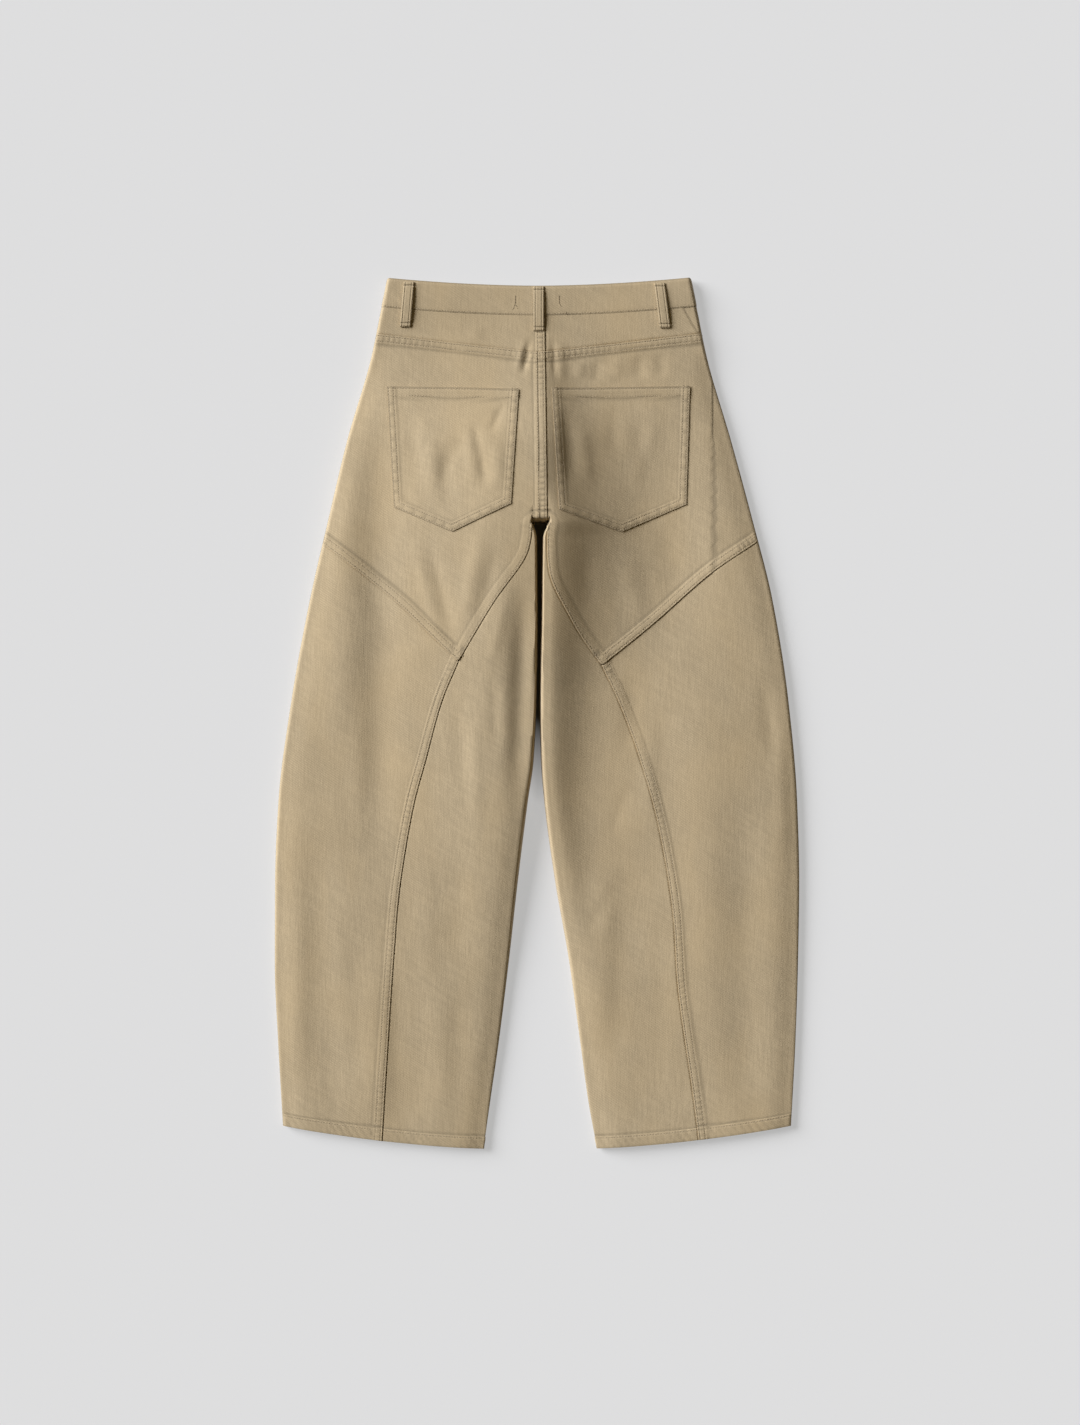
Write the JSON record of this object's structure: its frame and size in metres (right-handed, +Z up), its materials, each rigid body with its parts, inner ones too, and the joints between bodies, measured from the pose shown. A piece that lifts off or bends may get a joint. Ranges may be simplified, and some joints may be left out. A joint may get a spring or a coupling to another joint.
{
  "type": "barrel leg trousers",
  "caption": "Wide barrel leg twill trousers laid flat, back up, with a yoke, patch pockets, belt loops and curved leg panels.",
  "frame": {"origin": "centre of the underside, on the surface that the trousers lie on", "axes": "+Y up the garment to the waist, +Z up from the surface, +X to the right, seen from above"},
  "size_m": [0.628, 1.0423, 0.0426],
  "materials": {
    "cloth": "matte khaki cotton twill",
    "button": "dull dark metal"
  },
  "bodies": {
    "root": {"yoke_left": "cloth", "yoke_right": "cloth", "seat_left": "cloth", "seat_right": "cloth", "inner_left": "cloth", "inner_right": "cloth", "outer_left": "cloth", "outer_right": "cloth", "front_left": "cloth", "front_right": "cloth", "waistband_back": "cloth", "waistband_front_left": "cloth", "waistband_front_right": "cloth", "waistband_underlap": "cloth", "pocket_left": "cloth", "pocket_right": "cloth", "loop_left": "cloth", "loop_centre": "cloth", "loop_right": "cloth", "loop_front_left": "cloth", "loop_front_right": "cloth", "button": "button"}
  },
  "joints": []
}
